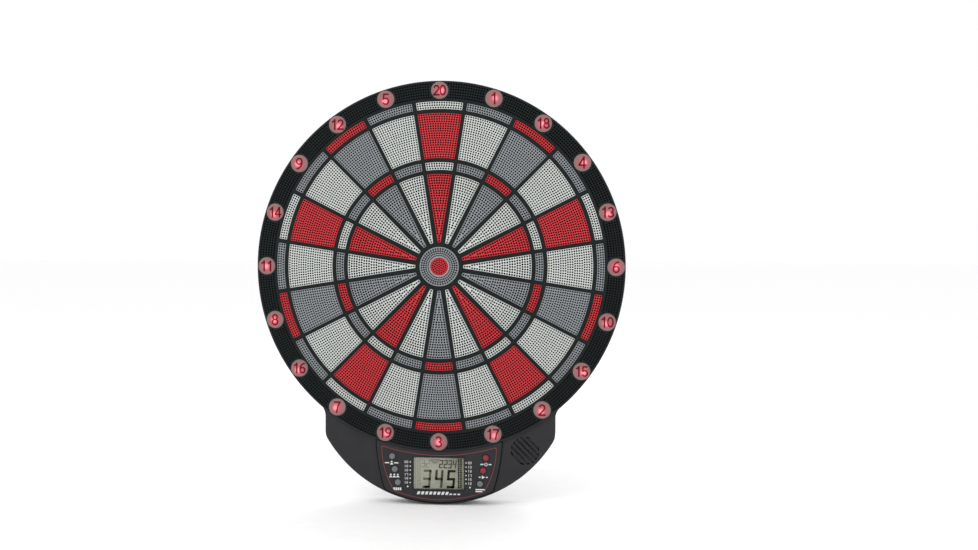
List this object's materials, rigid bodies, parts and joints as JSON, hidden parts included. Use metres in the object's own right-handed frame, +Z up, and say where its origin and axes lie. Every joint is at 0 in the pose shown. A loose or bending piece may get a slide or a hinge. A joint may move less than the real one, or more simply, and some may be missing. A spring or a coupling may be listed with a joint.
{
  "type": "electronic dartboard",
  "caption": "Wall-hung electronic dartboard: sprung scoring segments in a spider, a lit number ring, and a pod below with display, keys and speaker.",
  "frame": {"origin": "on the wall plane (the flat rear face), on the axis of the bull", "axes": "+Z up, +X to the right seen from the front, +Y into the wall; darts arrive along +Y"},
  "size_m": [0.444, 0.0366, 0.508],
  "materials": {
    "charcoal_plastic": "fine moulded grain",
    "black_plastic": "satin moulded",
    "segment_red": "satin moulded nylon",
    "segment_grey": "satin moulded nylon",
    "segment_light": "satin moulded nylon",
    "lens_plastic": "translucent, lit from behind",
    "button_grey": "soft moulded",
    "button_red": "soft moulded",
    "circuit_board": "solder mask",
    "printed_film": "printed polyester",
    "rubber": "moulded",
    "hardboard": "pressed fibre",
    "display": "reflective liquid crystal",
    "clear_plastic": "clear acrylic",
    "speaker_metal": "painted",
    "cell_jacket": "lacquered sleeve",
    "sheet_steel": "nickel plated",
    "wire": "extruded jacket"
  },
  "bodies": {
    "housing": {"front_housing": "charcoal_plastic", "rear_housing": "charcoal_plastic", "spider_ring": "black_plastic", "number_lens_ring": "lens_plastic", "led_ring_board": "circuit_board", "cushion_sheet": "rubber", "matrix_film_front": "printed_film", "matrix_film_rear": "printed_film", "backing_board": "hardboard", "control_panel": "charcoal_plastic", "display_window": "clear_plastic", "display_module": "display", "main_board": "circuit_board", "keypad_mat_left": "rubber", "keypad_mat_right": "rubber", "loudspeaker": "speaker_metal", "power_inlet": "black_plastic", "battery_cell_1": "cell_jacket", "battery_cell_2": "cell_jacket", "battery_cell_3": "cell_jacket", "battery_contact_negative": "sheet_steel", "battery_contact_positive": "sheet_steel", "battery_bridge_left": "sheet_steel", "battery_bridge_right": "sheet_steel", "speaker_lead": "wire", "battery_lead": "wire", "rear_screw_1": "sheet_steel", "rear_screw_2": "sheet_steel", "rear_screw_3": "sheet_steel", "rear_screw_4": "sheet_steel", "rear_screw_5": "sheet_steel"},
    "segments_20": {"segments_20": "segment_red"},
    "segments_01": {"segments_01": "segment_light"},
    "segments_18": {"segments_18": "segment_grey"},
    "segments_04": {"segments_04": "segment_light"},
    "segments_13": {"segments_13": "segment_red"},
    "segments_06": {"segments_06": "segment_light"},
    "segments_10": {"segments_10": "segment_grey"},
    "segments_15": {"segments_15": "segment_light"},
    "segments_02": {"segments_02": "segment_red"},
    "segments_17": {"segments_17": "segment_light"},
    "segments_03": {"segments_03": "segment_grey"},
    "segments_19": {"segments_19": "segment_light"},
    "segments_07": {"segments_07": "segment_red"},
    "segments_16": {"segments_16": "segment_light"},
    "segments_08": {"segments_08": "segment_grey"},
    "segments_11": {"segments_11": "segment_light"},
    "segments_14": {"segments_14": "segment_red"},
    "segments_09": {"segments_09": "segment_light"},
    "segments_12": {"segments_12": "segment_grey"},
    "segments_05": {"segments_05": "segment_light"},
    "bull_outer": {"bull_outer": "segment_grey"},
    "bull_inner": {"bull_inner": "segment_red"},
    "button_left_top": {"button_left_top": "button_grey"},
    "button_right_top": {"button_right_top": "button_red"},
    "button_left_middle": {"button_left_middle": "button_grey"},
    "button_right_middle": {"button_right_middle": "button_red"},
    "button_left_lower": {"button_left_lower": "button_grey"},
    "button_right_lower": {"button_right_lower": "button_grey"},
    "battery_door": {"battery_door": "charcoal_plastic"}
  },
  "joints": [
    {"name": "press_20", "type": "slide", "parent": "housing", "child": "segments_20", "axis": [0, 1, 0], "range_m": [0, 0.0012], "stiffness_N_per_m": 600},
    {"name": "press_01", "type": "slide", "parent": "housing", "child": "segments_01", "axis": [0, 1, 0], "range_m": [0, 0.0012], "stiffness_N_per_m": 600},
    {"name": "press_18", "type": "slide", "parent": "housing", "child": "segments_18", "axis": [0, 1, 0], "range_m": [0, 0.0012], "stiffness_N_per_m": 600},
    {"name": "press_04", "type": "slide", "parent": "housing", "child": "segments_04", "axis": [0, 1, 0], "range_m": [0, 0.0012], "stiffness_N_per_m": 600},
    {"name": "press_13", "type": "slide", "parent": "housing", "child": "segments_13", "axis": [0, 1, 0], "range_m": [0, 0.0012], "stiffness_N_per_m": 600},
    {"name": "press_06", "type": "slide", "parent": "housing", "child": "segments_06", "axis": [0, 1, 0], "range_m": [0, 0.0012], "stiffness_N_per_m": 600},
    {"name": "press_10", "type": "slide", "parent": "housing", "child": "segments_10", "axis": [0, 1, 0], "range_m": [0, 0.0012], "stiffness_N_per_m": 600},
    {"name": "press_15", "type": "slide", "parent": "housing", "child": "segments_15", "axis": [0, 1, 0], "range_m": [0, 0.0012], "stiffness_N_per_m": 600},
    {"name": "press_02", "type": "slide", "parent": "housing", "child": "segments_02", "axis": [0, 1, 0], "range_m": [0, 0.0012], "stiffness_N_per_m": 600},
    {"name": "press_17", "type": "slide", "parent": "housing", "child": "segments_17", "axis": [0, 1, 0], "range_m": [0, 0.0012], "stiffness_N_per_m": 600},
    {"name": "press_03", "type": "slide", "parent": "housing", "child": "segments_03", "axis": [0, 1, 0], "range_m": [0, 0.0012], "stiffness_N_per_m": 600},
    {"name": "press_19", "type": "slide", "parent": "housing", "child": "segments_19", "axis": [0, 1, 0], "range_m": [0, 0.0012], "stiffness_N_per_m": 600},
    {"name": "press_07", "type": "slide", "parent": "housing", "child": "segments_07", "axis": [0, 1, 0], "range_m": [0, 0.0012], "stiffness_N_per_m": 600},
    {"name": "press_16", "type": "slide", "parent": "housing", "child": "segments_16", "axis": [0, 1, 0], "range_m": [0, 0.0012], "stiffness_N_per_m": 600},
    {"name": "press_08", "type": "slide", "parent": "housing", "child": "segments_08", "axis": [0, 1, 0], "range_m": [0, 0.0012], "stiffness_N_per_m": 600},
    {"name": "press_11", "type": "slide", "parent": "housing", "child": "segments_11", "axis": [0, 1, 0], "range_m": [0, 0.0012], "stiffness_N_per_m": 600},
    {"name": "press_14", "type": "slide", "parent": "housing", "child": "segments_14", "axis": [0, 1, 0], "range_m": [0, 0.0012], "stiffness_N_per_m": 600},
    {"name": "press_09", "type": "slide", "parent": "housing", "child": "segments_09", "axis": [0, 1, 0], "range_m": [0, 0.0012], "stiffness_N_per_m": 600},
    {"name": "press_12", "type": "slide", "parent": "housing", "child": "segments_12", "axis": [0, 1, 0], "range_m": [0, 0.0012], "stiffness_N_per_m": 600},
    {"name": "press_05", "type": "slide", "parent": "housing", "child": "segments_05", "axis": [0, 1, 0], "range_m": [0, 0.0012], "stiffness_N_per_m": 600},
    {"name": "press_bull_outer", "type": "slide", "parent": "housing", "child": "bull_outer", "axis": [0, 1, 0], "range_m": [0, 0.0012], "stiffness_N_per_m": 400},
    {"name": "press_bull_inner", "type": "slide", "parent": "housing", "child": "bull_inner", "axis": [0, 1, 0], "range_m": [0, 0.0012], "stiffness_N_per_m": 400},
    {"name": "press_button_left_top", "type": "slide", "parent": "housing", "child": "button_left_top", "axis": [0, 1, 0], "range_m": [0, 0.001], "stiffness_N_per_m": 300},
    {"name": "press_button_right_top", "type": "slide", "parent": "housing", "child": "button_right_top", "axis": [0, 1, 0], "range_m": [0, 0.001], "stiffness_N_per_m": 300},
    {"name": "press_button_left_middle", "type": "slide", "parent": "housing", "child": "button_left_middle", "axis": [0, 1, 0], "range_m": [0, 0.001], "stiffness_N_per_m": 300},
    {"name": "press_button_right_middle", "type": "slide", "parent": "housing", "child": "button_right_middle", "axis": [0, 1, 0], "range_m": [0, 0.001], "stiffness_N_per_m": 300},
    {"name": "press_button_left_lower", "type": "slide", "parent": "housing", "child": "button_left_lower", "axis": [0, 1, 0], "range_m": [0, 0.001], "stiffness_N_per_m": 300},
    {"name": "press_button_right_lower", "type": "slide", "parent": "housing", "child": "button_right_lower", "axis": [0, 1, 0], "range_m": [0, 0.001], "stiffness_N_per_m": 300},
    {"name": "battery_door_hinge", "type": "hinge", "parent": "housing", "child": "battery_door", "pos_m": [0, -0.0011, -0.2266], "axis": [1, 0, 0], "range_deg": [0, 100]}
  ]
}
